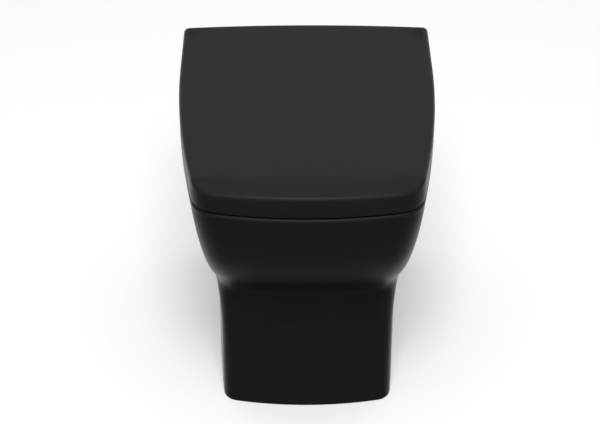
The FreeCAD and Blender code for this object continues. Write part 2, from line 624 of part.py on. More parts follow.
def make_hinge_post(word, side):
    """Post that stands in front of the hinge axis and reaches back to it with an arm."""
    body = new_body(f"post_{word}")
    profile = sketch_on(body, "profile", "YZ_Plane", sideways(side, POST_INNER, "post_width"))
    y, z, hub = size(AXIS_Y), size(AXIS_Z), size("hub_radius")
    front, back, drop, floor = size("stem_front"), size("stem_back"), size("arm_drop"), size(BASE_TOP)
    under = math.sqrt(hub ** 2 - drop ** 2)
    start = math.pi + math.atan2(drop, under)
    profile.addGeometry([
        line((y - front, floor), (y - back, floor)),
        line((y - back, floor), (y - back, z - drop)),
        line((y - back, z - drop), (y - under, z - drop)),
        arc((y, z), hub, start, 2.5 * math.pi),
        line((y, z + hub), (y - front, z + hub)),
        line((y - front, z + hub), (y - front, floor)),
    ])
    for one, one_end, other in ((0, 2, 1), (1, 2, 2), (2, 2, 3), (4, 2, 5), (5, 2, 0)):
        profile.addConstraint(Sketcher.Constraint("Coincident", one, one_end, other, 1))
    profile.addConstraint(Sketcher.Constraint("Tangent", 3, 2, 4, 1))
    for curve in (0, 2, 4):
        profile.addConstraint(Sketcher.Constraint("Horizontal", curve))
    for curve in (1, 5):
        profile.addConstraint(Sketcher.Constraint("Vertical", curve))
    place(profile, 3, 3, AXIS_Y, AXIS_Z)
    fix(profile, "Radius", 3, "hub_radius")
    place(profile, 0, 1, f"{AXIS_Y} - stem_front", BASE_TOP)
    fix(profile, "DistanceX", -1, 1, 0, 2, f"{AXIS_Y} - stem_back")
    fix(profile, "DistanceY", -1, 1, 2, 1, f"{AXIS_Z} - arm_drop")
    pad(body, profile, "post_width")
    fillet(body, "post_round", lambda p, edge: abs(p.y - (y - front)) < 0.01 and abs(p.z - z - hub) < 0.01
           or abs(p.y - (y - back)) < 0.01 and abs(p.z - (z - drop)) < 0.01)
    bore_along_axis(body, "shaft_bore", "shaft_diameter + 2 * fit")
    stud_bore = circles(sketch_on(body, "stud_bore", offset=BASE_TOP),
                        [(f"{side} * fixing_centres / 2", STUD_Y)], "stud_diameter + 2 * fit")
    cut(body, stud_bore, "stud_in_post + fit", up=True)
    keep(body, f"hinge_post_{word}")


def make_damper(word, side, barrel_inner, shaft_far):
    """Soft-close damper: a barrel held in one hub, and its shaft, which is also the hinge pin."""
    inner = f"{barrel_inner} + side_play"
    length = "lug_width - 2 * side_play"
    axis = (AXIS_Y, AXIS_Z)
    depth = "damper_grip"
    barrel = across("barrel", side, inner, *axis, "damper_diameter / 2", length)
    near_post = inner if word == "lid" else f"{inner} + {length} - {depth}"
    bore = across("bore", side, near_post, *axis, "shaft_diameter / 2 + fit", depth)
    keep(take(f"{word}_barrel", barrel, [bore]), f"{word}_damper_barrel")
    low = shaft_far if word == "lid" else f"{near_post} + side_play"
    high = f"{inner} + {depth} - side_play" if word == "lid" else shaft_far
    keep(across(f"{word}_shaft", side, low, *axis, "shaft_diameter / 2", f"{high} - ({low})"),
         f"{word}_damper_shaft")


def make_hinge_leaf(label, side, inner, bore, leaf, leaf_side, screw_y):
    """Steel leaf with a hub on the hinge axis; leaf lists its outline from the side."""
    body = new_body(f"{label}_body")
    low = sideways(side, inner, "lug_width")
    hub = circles(sketch_on(body, "hub", "YZ_Plane", low), [(AXIS_Y, AXIS_Z)], "2 * hub_radius")
    pad(body, hub, "lug_width")
    profile = sketch_on(body, "leaf", "YZ_Plane", low)
    polygon(profile, [(f"{AXIS_Y} - ({forward})", f"{AXIS_Z} + ({up})") for forward, up in leaf])
    pad(body, profile, "lug_width")
    bore_along_axis(body, "bore", bore)
    middle = f"{side} * ({inner} + lug_width / 2)"
    holes = circles(sketch_on(body, "screw_holes", offset=leaf_side), [(middle, y) for y in screw_y],
                    "hinge_screw + 2 * fit")
    cut(body, holes, "leaf + spare")
    keep(body, label)


def screw_set(label, inner, screw_y, head_low, length):
    """Pan-head screws driven upwards, two in each leaf."""
    screws = []
    for word, side in SIDES.items():
        x = f"{side} * ({inner} + lug_width / 2)"
        for number, y in enumerate(screw_y, start=1):
            head = rod("head", (x, y, head_low), "+Z", "hinge_screw_head / 2", "screw_head_height")
            shank = rod("shank", (x, y, f"{head_low} + screw_head_height"), "+Z", "hinge_screw / 2", length)
            screws.append(fuse(f"{label}_{word}_{number}", [head, shank]))
    keep(group(f"{label}_set", screws), label)


# ---------------------------------------------------------------- seat

SEAT_INSET = "(lid_wall + seat_gap)"
SEAT_REAR = f"{AXIS_Y} - seat_behind"
SEAT_LEAF = (("seat_behind / 4", "seat_thickness - axis_height + seat_lift"),
             ("seat_behind / 4", "seat_lift - axis_height - leaf"),
             ("leaf_length", "seat_lift - axis_height - leaf"), ("leaf_length", "seat_lift - axis_height"),
             ("seat_behind - 1", "seat_lift - axis_height"), ("seat_behind - 1", "0"),
             ("seat_behind / 4", "0"))
SEAT_SCREW_Y = (f"{AXIS_Y} - seat_behind - seat_screw_ahead", f"{AXIS_Y} - leaf_length + screw_from_tip")
LID_LEAF = (("0", "hub_radius - leaf"), ("leaf_length", "hub_radius - leaf"),
            ("leaf_length", "hub_radius"), ("0", "hub_radius"))
LID_SCREW_Y = (f"{AXIS_Y} - lid_screw_ahead", f"{AXIS_Y} - leaf_length + screw_from_tip")


def four_spots(x, front, rear):
    """Left and right, front and rear."""
    return [(f"{side} * ({x})", y) for side in SIDES.values() for y in (front, rear)]


def make_seat_ring():
    """Moulded ring with rounded edges, cut away at the rear round the two posts."""
    body = new_body("ring")
    radii = tuple(f"{radius} - {SEAT_INSET}" for radius in RIM_RADII)
    outline = plan_outline(
        body, "outline", SEAT_BOTTOM, f"rim_width / 2 - {SEAT_INSET}", f"{FRONT} + {SEAT_INSET}", SEAT_REAR,
        f"{SEAT_REAR} - ({FRONT} + rim_bow_length)", radii)
    pad(body, outline, "seat_thickness")
    opening = round_opening(
        body, "opening", SEAT_TOP, "seat_opening_width / 2", f"{FRONT} + {SEAT_INSET} + seat_front_bar",
        f"{FRONT} + {SEAT_INSET} + seat_front_bar + seat_opening_length", "seat_opening_corner")
    cut(body, opening, "seat_thickness")
    top, bottom, rear = size(SEAT_TOP), size(SEAT_BOTTOM), size(SEAT_REAR)
    fillet(body, "seat_round", lambda p, _: p.z > top - 0.01)
    fillet(body, "seat_under_round", lambda p, _: p.z < bottom + 0.01 and p.y < rear - 1)
    notch_inner = f"{POST_INNER} - notch_play"
    notch_outer = f"{POST_OUTER} + notch_play"
    notch_front = f"{AXIS_Y} - stem_front - notch_ahead"
    notches = sketch_on(body, "notches", offset=SEAT_TOP)
    rectangle(notches, notch_inner, notch_front, notch_outer, AXIS_Y)
    rectangle(notches, f"-({notch_outer})", notch_front, f"-({notch_inner})", AXIS_Y)
    cut(body, notches, "seat_thickness")
    middle = f"{SEAT_LUG_INNER} + lug_width / 2"
    screw_holes = circles(sketch_on(body, "screw_holes", offset=SEAT_BOTTOM),
                          four_spots(middle, *SEAT_SCREW_Y), "hinge_screw + 2 * fit")
    cut(body, screw_holes, "seat_screw_depth + fit", up=True)
    keep(body, "seat_ring")


def make_buffers(label, spots, z, length):
    """Round rubber buffers."""
    keep(group(f"{label}_set", [
        rod(f"{label}_{number}", (x, y, z), "+Z", "buffer_diameter / 2", length)
        for number, (x, y) in enumerate(spots, start=1)]), label)


# ---------------------------------------------------------------- lid

def lid_form(name, inset, lower):
    """The lid as a solid: upright sides and a top crowned from side to side.

    inset draws its sides in and lower drops its top, so that a second one makes the inside.
    """
    body = new_body(name)
    top = f"{LID_TOP} - {lower}"
    radii = tuple(f"{radius} - {inset}" for radius in RIM_RADII)
    rear = f"{LID_BACK} - {inset}"
    outline = plan_outline(
        body, "outline", LID_BOTTOM, f"rim_width / 2 - {inset}", f"{FRONT} + {inset}", rear,
        f"{rear} - ({FRONT} + rim_bow_length)", radii)
    pad(body, outline, f"{top} - ({LID_BOTTOM})")
    spread = "rim_width / 2 + spare"
    radius = "((rim_width / 2) ^ 2 + lid_crown ^ 2) / (2 * lid_crown)"
    crown = sketch_on(body, "crown", "XZ_Plane")
    x, r, z, over = size(spread), size(radius), size(top), size("spare")
    lean = math.asin(x / r)
    edge_z = z - r + r * math.cos(lean)
    crown.addGeometry([
        arc((0, z - r), r, math.pi / 2 - lean, math.pi / 2 + lean),
        line((-x, edge_z), (-x, z + over)),
        line((-x, z + over), (x, z + over)),
        line((x, z + over), (x, edge_z)),
    ])
    for curve in range(4):
        crown.addConstraint(Sketcher.Constraint("Coincident", curve, 2, (curve + 1) % 4, 1))
    for curve, kind in ((1, "Vertical"), (2, "Horizontal"), (3, "Vertical")):
        crown.addConstraint(Sketcher.Constraint(kind, curve))
    place(crown, 0, 3, "0", f"{top} - {radius}")
    fix(crown, "Radius", 0, radius)
    fix(crown, "DistanceX", -1, 1, 1, 1, f"-({spread})")
    place(crown, 3, 1, spread, f"{top} + spare")
    cut(body, crown, "2 * projection", middle=True)
    return body


def round_lid_form(body):
    """Back corners, top edges and the swing clearance of the lid's outside."""
    back, half = size(LID_BACK), size("rim_width / 2")
    fillet(body, "lid_back_corner", lambda p, edge: abs(p.y - back) < 0.01 and abs(abs(p.x) - half) < 0.01)
    low = (size(LID_BOTTOM) + size(LID_TOP)) / 2
    fillet(body, "lid_round", lambda p, edge: p.z > low and edge.BoundBox.ZLength < 10)
    swing = sketch_on(body, "swing", "YZ_Plane")
    y, z, r = size(AXIS_Y), size(AXIS_Z), size(LID_SWING)
    reach, over = size("axis_from_back + 2 * spare"), size("spare")
    angle = -math.acos(reach / r)
    swing.addGeometry([
        arc((y, z), r, -math.pi / 2, angle),
        line((y + reach, z + r * math.sin(angle)), (y + reach, z - r - over)),
        line((y + reach, z - r - over), (y, z - r - over)),
        line((y, z - r - over), (y, z - r)),
    ])
    for curve in range(4):
        swing.addConstraint(Sketcher.Constraint("Coincident", curve, 2, (curve + 1) % 4, 1))
    for curve, kind in ((1, "Vertical"), (2, "Horizontal"), (3, "Vertical")):
        swing.addConstraint(Sketcher.Constraint(kind, curve))
    place(swing, 0, 3, AXIS_Y, AXIS_Z)
    fix(swing, "Radius", 0, LID_SWING)
    place(swing, 1, 2, f"{AXIS_Y} + axis_from_back + 2 * spare", f"{AXIS_Z} - ({LID_SWING}) - spare")
    fix(swing, "DistanceX", -1, 1, 0, 1, AXIS_Y)
    cut(body, swing, "2 * rim_width", middle=True)


def make_lid():
    """Wrap-over lid: shell, open under its rear edge and round the posts, with pads and screw holes."""
    outside = lid_form("lid_outside", "0", "0")
    round_lid_form(outside)
    inside = lid_form("lid_inside", "lid_wall", "lid_plate")
    shell = take("lid_shell", outside, [inside])
    rear_y = f"{LID_BACK} - lid_wall - spare"
    rear_gap = block("rear_gap", ("-(rim_width / 2 - lid_wall)", rear_y, f"{LID_BOTTOM} - spare"),
                     ("rim_width - 2 * lid_wall", "lid_wall + 2 * spare",
                      f"{AXIS_Z} + lid_rear_edge - ({LID_BOTTOM}) + spare"))
    post_gaps = [
        block(f"post_gap_{word}",
              (sideways(side, f"{POST_INNER} - notch_play", "post_width + 2 * notch_play"), rear_y, AXIS_Z),
              ("post_width + 2 * notch_play", "lid_wall + 2 * spare", "hub_radius + post_gap_rise"))
        for word, side in SIDES.items()]
    opened = take("lid_opened", shell, [rear_gap, *post_gaps])
    pads = [
        block(f"leaf_pad_{word}",
              (sideways(side, LID_LUG_INNER, "lug_width"), f"{AXIS_Y} - leaf_length", LID_PAD),
              ("lug_width", "leaf_length + hub_radius", "pad_depth"))
        for word, side in SIDES.items()]
    bosses = [
        rod(f"buffer_boss_{number}", (x, y, BOSS_BOTTOM), "+Z", "buffer_diameter / 2 + boss_margin",
            "boss_drop + boss_root")
        for number, (x, y) in enumerate(BUFFER_SPOTS, start=1)]
    whole = fuse("lid_whole", [opened, *pads, *bosses])
    middle = f"{LID_LUG_INNER} + lug_width / 2"
    holes = [
        rod("lid_screw_hole", (x, y, LID_PAD), "+Z", "hinge_screw / 2 + fit", "lid_screw_depth")
        for x, y in four_spots(middle, *LID_SCREW_Y)]
    keep(take("lid_drilled", whole, holes), "lid")


# ---------------------------------------------------------------- the whole

make_pan()
make_inlet_seal()
for word, side in SIDES.items():
    make_floor_bracket(word, side)
    make_hinge_post(word, side)
make_side_fixings()
make_hinge_fixings()
make_damper("seat", SIDES["left"], SEAT_LUG_INNER, f"{LID_LUG_INNER} + lug_width - side_play")
make_damper("lid", SIDES["right"], LID_LUG_INNER, f"{SEAT_LUG_INNER} + side_play")
for word, side in SIDES.items():
    wide, slim = "damper_diameter + 2 * fit", "shaft_diameter + 2 * fit"
    make_hinge_leaf(f"seat_hinge_{word}", side, SEAT_LUG_INNER, wide if word == "left" else slim,
                    SEAT_LEAF, SEAT_BOTTOM, SEAT_SCREW_Y)
    make_hinge_leaf(f"lid_hinge_{word}", side, LID_LUG_INNER, wide if word == "right" else slim,
                    LID_LEAF, f"{AXIS_Z} + hub_radius", LID_SCREW_Y)
screw_set("seat_hinge_screws", SEAT_LUG_INNER, SEAT_SCREW_Y, f"{SEAT_BOTTOM} - leaf - screw_head_height",
          "leaf + seat_screw_depth")
screw_set("lid_hinge_screws", LID_LUG_INNER, LID_SCREW_Y,
          f"{AXIS_Z} + hub_radius - leaf - screw_head_height", "leaf + lid_screw_depth - screw_end_gap")
make_seat_ring()
make_buffers("seat_buffers", BUFFER_SPOTS, "rim_height + rest_gap", "seat_lift - rest_gap")
make_lid()
make_buffers("lid_buffers", BUFFER_SPOTS, f"{SEAT_TOP} + rest_gap",
             f"{BOSS_BOTTOM} - ({SEAT_TOP} + rest_gap)")

doc.recompute()
for obj in doc.Objects:
    if "Invalid" in obj.State or "Error" in obj.State:
        raise RuntimeError(f"{obj.Label}: {obj.State}")
os.makedirs("parts", exist_ok=True)
for node in nodes:
    if node.Shape.isNull() or not node.Shape.isValid():
        raise RuntimeError(f"{node.Label} has no valid shape")
    node.Shape.exportStep(f"parts/{node.Label}.step")
    print(f"{node.Label}: {len(node.Shape.Solids)} solids, {node.Shape.Volume / 1000:.1f} cm3")
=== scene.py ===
"""Looks of a back-to-wall toilet with a soft-close seat and a wrap-over lid, in metres.

The CAD frame gives every place and every body. The china pan, the seat ring and the lid are modelled
here as smooth closed meshes of the same sizes; the hinges and fixings keep their CAD meshes.
"""

import logging
import math
from dataclasses import dataclass, field
from enum import Enum
from typing import Callable, Iterable, Sequence

import bmesh
import bpy
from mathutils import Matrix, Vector


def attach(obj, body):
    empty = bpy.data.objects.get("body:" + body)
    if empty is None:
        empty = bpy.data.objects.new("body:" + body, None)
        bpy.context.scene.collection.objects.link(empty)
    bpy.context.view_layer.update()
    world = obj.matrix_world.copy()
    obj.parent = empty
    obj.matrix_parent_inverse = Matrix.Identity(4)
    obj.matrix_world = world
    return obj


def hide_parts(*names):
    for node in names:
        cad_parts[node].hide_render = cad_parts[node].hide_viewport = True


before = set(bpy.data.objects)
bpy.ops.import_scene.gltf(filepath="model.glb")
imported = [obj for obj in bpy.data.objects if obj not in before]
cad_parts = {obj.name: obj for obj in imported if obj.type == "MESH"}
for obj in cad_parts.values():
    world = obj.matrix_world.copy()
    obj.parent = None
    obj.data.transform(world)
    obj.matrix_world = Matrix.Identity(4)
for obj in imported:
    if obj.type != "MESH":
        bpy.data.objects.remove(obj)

LOG = logging.getLogger("toilet")
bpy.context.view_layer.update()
MERGE = 1e-6
CREASE_DEGREES = 32
LEAF_DEGREES = 30
ROUND = 2 * math.pi
QUARTER = math.pi / 2


# ---------------------------------------------------------------- shader maths

class Signal:
    """A shader socket that can be used in Python expressions."""

    def __init__(self, graph: "Graph", socket: bpy.types.NodeSocket) -> None:
        """Wrap a socket.

        Args:
            graph: the graph that owns it.
            socket: an output socket that carries one number.
        """
        self.graph = graph
        self.socket = socket

    def _math(self, operation: str, *values: "Signal | float") -> "Signal":
        """A Math node on these values."""
        node = self.graph.node("ShaderNodeMath", {"operation": operation}, dict(enumerate(values)))
        return Signal(self.graph, node.outputs[0])

    def __add__(self, other: "Signal | float") -> "Signal":
        """Sum."""
        return self._math("ADD", self, other)

    def __sub__(self, other: "Signal | float") -> "Signal":
        """Difference."""
        return self._math("SUBTRACT", self, other)

    def __rsub__(self, other: float) -> "Signal":
        """Difference from a number."""
        return self._math("SUBTRACT", other, self)

    def __mul__(self, other: "Signal | float") -> "Signal":
        """Product."""
        return self._math("MULTIPLY", self, other)

    __radd__ = __add__
    __rmul__ = __mul__

    def between(self, low: float, high: float) -> "Signal":
        """This signal mapped from low..high to 0..1 and clamped."""
        node = self.graph.node("ShaderNodeMapRange", {"clamp": True},
                               {"Value": self, "From Min": low, "From Max": high})
        return Signal(self.graph, node.outputs["Result"])


class Graph:
    """The node tree of one material or world."""

    def __init__(self, owner: bpy.types.Material | bpy.types.World) -> None:
        """Empty the owner's tree.

        Args:
            owner: a new material or world.
        """
        self.material = owner
        owner.use_nodes = True
        self.tree = owner.node_tree
        self.tree.nodes.clear()

    def node(self, kind: str, settings: dict | None = None, inputs: dict | None = None) -> bpy.types.Node:
        """Add a node.

        Args:
            kind: the node's type.
            settings: attributes to set first.
            inputs: socket name or number to value, Signal or output socket.

        Returns:
            The node.
        """
        made = self.tree.nodes.new(kind)
        for key, value in (settings or {}).items():
            setattr(made, key, value)
        for key, value in (inputs or {}).items():
            if isinstance(value, Signal):
                self.tree.links.new(value.socket, made.inputs[key])
            elif isinstance(value, bpy.types.NodeSocket):
                self.tree.links.new(value, made.inputs[key])
            else:
                made.inputs[key].default_value = value
        return made

    def coordinates(self, stretch: tuple[float, float, float] = (1, 1, 1)) -> bpy.types.NodeSocket:
        """Object coordinates in metres, stretched along each axis."""
        place = self.node("ShaderNodeTexCoord").outputs["Object"]
        return self.node("ShaderNodeMapping", None, {"Vector": place, "Scale": stretch}).outputs[0]

    def noise(self, scale: float, detail: float = 4.0,
              stretch: tuple[float, float, float] = (1, 1, 1)) -> Signal:
        """Noise of this many waves a metre, from about 0.3 to 0.7."""
        made = self.node("ShaderNodeTexNoise", None, {
            "Vector": self.coordinates(stretch), "Scale": scale, "Detail": detail, "Roughness": 0.55})
        return Signal(self, made.outputs[0])

    def tint(self, low: Sequence[float], high: Sequence[float], mix: Signal) -> bpy.types.NodeSocket:
        """A colour between two colours."""
        made = self.node("ShaderNodeMix", {"data_type": "RGBA"}, {0: mix, 6: (*low, 1), 7: (*high, 1)})
        return made.outputs[2]

    def bump(self, height: Signal, distance: float, strength: float = 1.0) -> bpy.types.NodeSocket:
        """A bump normal from a height of this distance in metres."""
        made = self.node("ShaderNodeBump", None,
                         {"Height": height, "Distance": distance, "Strength": strength})
        return made.outputs[0]

    def surface(self, **inputs: object) -> bpy.types.Material:
        """Close the tree with a Principled shader whose sockets are given by name, spaces as underscores."""
        named = {key.replace("_", " "): value for key, value in inputs.items()}
        shader = self.node("ShaderNodeBsdfPrincipled", None, named)
        self.node("ShaderNodeOutputMaterial", None, {"Surface": shader.outputs[0]})
        return self.material


# ---------------------------------------------------------------- finishes

@dataclass(frozen=True)
class MattBlack:
    """Matt black surface: glaze, moulded thermoset or coated metal, told apart by its numbers."""

    name: str
    shade: float
    warmth: float
    roughness: float
    gloss: float
    cloud_scale: float
    grain_scale: float
    grain_depth: float
    sheen: float = 0.0

    def material(self) -> bpy.types.Material:
        """Build the material.

        Returns:
            The node material.
        """
        graph = Graph(bpy.data.materials.new(self.name))
        cloud = graph.noise(self.cloud_scale, 5).between(0.35, 0.65)
        fine = graph.noise(self.cloud_scale * 9, 3).between(0.3, 0.7)
        mix = cloud * 0.6 + fine * 0.4
        low = (self.shade * 0.86, self.shade * 0.86, self.shade * (0.86 - self.warmth))
        high = (self.shade * 1.14, self.shade * 1.14, self.shade * (1.14 - self.warmth))
        grain = graph.noise(self.grain_scale, 2)
        return graph.surface(
            Base_Color=graph.tint(low, high, mix),
            Roughness=mix * 0.07 + (self.roughness - 0.035),
            Normal=graph.bump(grain, self.grain_depth),
            Specular_IOR_Level=self.gloss,
            Sheen_Weight=self.sheen,
        )


@dataclass(frozen=True)
class Metal:
    """Bare steel: brushed along X on a sheet, or bright on a turned piece."""

    name: str
    colour: tuple[float, float, float]
    roughness: float
    brushed: bool

    def material(self) -> bpy.types.Material:
        """Build the material.

        Returns:
            The node material.
        """
        graph = Graph(bpy.data.materials.new(self.name))
        stretch = (0.06, 1, 1) if self.brushed else (1, 1, 1)
        lines = graph.noise(2600 if self.brushed else 500, 3, stretch)
        stain = graph.noise(60, 4).between(0.35, 0.7)
        dark = tuple(channel * 0.82 for channel in self.colour)
        return graph.surface(
            Base_Color=graph.tint(self.colour, dark, stain),
            Metallic=1.0,
            Roughness=lines * 0.25 + (self.roughness - 0.12),
            Normal=graph.bump(lines, 0.00002),
        )


@dataclass(frozen=True)
class Soft:
    """Rubber or moulded nylon, with a fine mould grain and a little dust or flow marking."""

    name: str
    colour: tuple[float, float, float]
    mark: tuple[float, float, float]
    roughness: float

    def material(self) -> bpy.types.Material:
        """Build the material.

        Returns:
            The node material.
        """
        graph = Graph(bpy.data.materials.new(self.name))
        cloud = graph.noise(90, 5).between(0.4, 0.75)
        grain = graph.noise(1800, 2)
        return graph.surface(
            Base_Color=graph.tint(self.colour, self.mark, cloud),
            Roughness=cloud * 0.1 + self.roughness,
            Normal=graph.bump(grain, 0.00004),
            Specular_IOR_Level=0.35,
        )


class Finish(Enum):
    """The finishes of the toilet, each made once."""

    GLAZE = MattBlack("matt_glaze", 0.0085, 0.16, 0.46, 0.10, 26, 700, 0.00002)
    DUROPLAST = MattBlack("matt_duroplast", 0.0095, 0.16, 0.50, 0.12, 60, 1500, 0.00003)
    COATING = MattBlack("hinge_coating", 0.012, 0.0, 0.42, 0.35, 120, 2200, 0.00002)
    PLASTIC = MattBlack("trim_plastic", 0.012, 0.0, 0.5, 0.3, 140, 2400, 0.00003)
    LEAF = Metal("brushed_leaf", (0.56, 0.57, 0.58), 0.34, True)
    BRIGHT = Metal("bright_screw", (0.66, 0.67, 0.68), 0.26, False)
    SEAL = Soft("soft_seal", (0.028, 0.028, 0.03), (0.045, 0.045, 0.045), 0.62)
    BUFFER = Soft("soft_buffer", (0.05, 0.05, 0.052), (0.075, 0.075, 0.073), 0.66)
    NYLON = Soft("pale_nylon", (0.78, 0.77, 0.72), (0.70, 0.69, 0.63), 0.42)

    def get(self) -> bpy.types.Material:
        """The material, made on first use."""
        known = bpy.data.materials.get(self.value.name)
        return known or self.value.material()


# ---------------------------------------------------------------- mesh helpers

def smooth_by_angle(bm: bmesh.types.BMesh, degrees: float = CREASE_DEGREES) -> None:
    """Shade faces smooth and keep edges sharper than this angle as creases."""
    limit = math.radians(degrees)
    for face in bm.faces:
        face.smooth = True
    for edge in bm.edges:
        edge.smooth = edge.is_manifold and edge.calc_face_angle(0) < limit


def finish_mesh(bm: bmesh.types.BMesh, name: str, material: bpy.types.Material) -> bpy.types.Object:
    """Turn a bmesh into an object of the scene.

    Args:
        bm: the mesh, which is freed.
        name: the object's name.
        material: its material.

    Returns:
        The object, at the origin.
    """
    bmesh.ops.remove_doubles(bm, verts=bm.verts, dist=MERGE)
    bmesh.ops.dissolve_degenerate(bm, edges=bm.edges, dist=MERGE / 10)
    bmesh.ops.recalc_face_normals(bm, faces=bm.faces)
    smooth_by_angle(bm)
    mesh = bpy.data.meshes.new(name)
    bm.to_mesh(mesh)
    bm.free()
    made = bpy.data.objects.new(name, mesh)
    bpy.context.scene.collection.objects.link(made)
    mesh.materials.append(material)
    return made


def skin(rings: Sequence[Sequence[Vector]]) -> bmesh.types.BMesh:
    """A skin through closed rings that all have as many points.

    The first ring is extruded to each next one; the open ends are filled.

    Args:
        rings: the rings in order, each a list of points.

    Returns:
        The closed mesh.
    """
    bm = bmesh.new()
    row = [bm.verts.new(point) for point in rings[0]]
    edges = [bm.edges.new((row[i - 1], row[i])) for i in range(len(row))]
    ends = [list(edges)]
    for ring in rings[1:]:
        grown = bmesh.ops.extrude_edge_only(bm, edges=edges)["geom"]
        fresh = {item for item in grown if isinstance(item, bmesh.types.BMVert)}
        row = [next(v for v in (e.other_vert(old) for e in old.link_edges) if v in fresh) for old in row]
        for vert, point in zip(row, ring):
            vert.co = point
        edges = [item for item in grown
                 if isinstance(item, bmesh.types.BMEdge) and all(v in fresh for v in item.verts)]
    ends.append(edges)
    bmesh.ops.remove_doubles(bm, verts=bm.verts, dist=MERGE)
    open_edges = [edge for edge in bm.edges if edge.is_boundary]
    if open_edges:
        bmesh.ops.holes_fill(bm, edges=open_edges)
    bmesh.ops.recalc_face_normals(bm, faces=bm.faces)
    return bm


def carve(base: bpy.types.Object, tool: bpy.types.Object) -> bpy.types.Object:
    """Cut a tool mesh out of the base for good, and remove the tool.

    Args:
        base: the object that is changed.
        tool: the other solid.

    Returns:
        The base.
    """
    modifier = base.modifiers.new("carve", "BOOLEAN")
    modifier.operation = "DIFFERENCE"
    modifier.object = tool
    modifier.solver = "EXACT"
    result = bpy.data.meshes.new_from_object(base.evaluated_get(bpy.context.evaluated_depsgraph_get()))
    base.modifiers.clear()
    old = base.data
    base.data = result
    bpy.data.meshes.remove(old)
    bpy.data.objects.remove(tool)
    return base


def join(base: bpy.types.Object, other: bpy.types.Object) -> None:
    """Add the closed shell of another object to the base's mesh, and remove the other object."""
    bm = bmesh.new()
    bm.from_mesh(base.data)
    bm.from_mesh(other.data)
    bm.to_mesh(base.data)
    bm.free()
    bpy.data.objects.remove(other)


def tidy_surface(piece: bpy.types.Object, degrees: float = CREASE_DEGREES) -> None:
    """Merge what a boolean left and shade by angle again."""
    bm = bmesh.new()
    bm.from_mesh(piece.data)
    bmesh.ops.remove_doubles(bm, verts=bm.verts, dist=2 * MERGE)
    bmesh.ops.dissolve_degenerate(bm, edges=bm.edges, dist=MERGE / 10)
    smooth_by_angle(bm, degrees)
    bm.to_mesh(piece.data)
    bm.free()


def tube(start: Vector, end: Vector, radius: float, segments: int = 64) -> bpy.types.Object:
    """A closed cylinder between two points, used as a carving tool."""
    bm = bmesh.new()
    axis = end - start
    turn = axis.to_track_quat("Z", "Y").to_matrix().to_4x4()
    turn.translation = (start + end) / 2
    bmesh.ops.create_cone(bm, cap_ends=True, segments=segments, radius1=radius, radius2=radius,
                          depth=axis.length, matrix=turn)
    return finish_mesh(bm, "tool", Finish.GLAZE.get())


def slab(low: Vector, high: Vector) -> bpy.types.Object:
    """A box between two corners, used as a carving tool or a small boss."""
    bm = bmesh.new()
    cube = bmesh.ops.create_cube(bm, size=1.0)["verts"]
    bmesh.ops.scale(bm, vec=high - low, verts=cube)
    bmesh.ops.translate(bm, vec=(low + high) / 2, verts=cube)
    return finish_mesh(bm, "tool", Finish.GLAZE.get())


def soft_edges_group() -> bpy.types.NodeTree:
    """A geometry group that joins loose triangles and shades them smooth up to 30 degrees."""
    known = bpy.data.node_groups.get("soft_edges")
    if known:
        return known
    group = bpy.data.node_groups.new("soft_edges", "GeometryNodeTree")
    group.interface.new_socket("Geometry", in_out="INPUT", socket_type="NodeSocketGeometry")
    group.interface.new_socket("Geometry", in_out="OUTPUT", socket_type="NodeSocketGeometry")
    start, end = group.nodes.new("NodeGroupInput"), group.nodes.new("NodeGroupOutput")
    merge = group.nodes.new("GeometryNodeMergeByDistance")
    merge.inputs["Distance"].default_value = MERGE
    faces = group.nodes.new("GeometryNodeSetShadeSmooth")
    faces.domain = "FACE"
    edges = group.nodes.new("GeometryNodeSetShadeSmooth")
    edges.domain = "EDGE"
    angle = group.nodes.new("GeometryNodeInputMeshEdgeAngle")
    compare = group.nodes.new("FunctionNodeCompare")
    compare.operation = "LESS_THAN"
    compare.inputs[1].default_value = math.radians(LEAF_DEGREES)
    link = group.links.new
    link(start.outputs[0], merge.inputs[0])
    link(merge.outputs[0], faces.inputs[0])
    link(faces.outputs[0], edges.inputs[0])
    link(angle.outputs[0], compare.inputs[0])
    link(compare.outputs[0], edges.inputs["Shade Smooth"])
    link(edges.outputs[0], end.inputs[0])
    return group


def dress_node(name: str, finish: Finish, edge: float = 0.0) -> None:
    """Give a CAD node its finish, smooth shading and a small live edge round.

    Args:
        name: the node.
        finish: its finish.
        edge: bevel width in metres, or 0 for none.
    """
    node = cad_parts[name]
    node.data.materials.clear()
    node.data.materials.append(finish.get())
    smooth = node.modifiers.new("soft_edges", "NODES")
    smooth.node_group = soft_edges_group()
    if edge:
        bevel = node.modifiers.new("edge", "BEVEL")
        bevel.width = edge
        bevel.segments = 2
        bevel.limit_method = "ANGLE"
        bevel.angle_limit = math.radians(40)
    LOG.info("dressed %s as %s", name, finish.name)


def ease(share: float) -> float:
    """0 to 1 with flat ends."""
    share = min(max(share, 0.0), 1.0)
    return share * share * (3 - 2 * share)


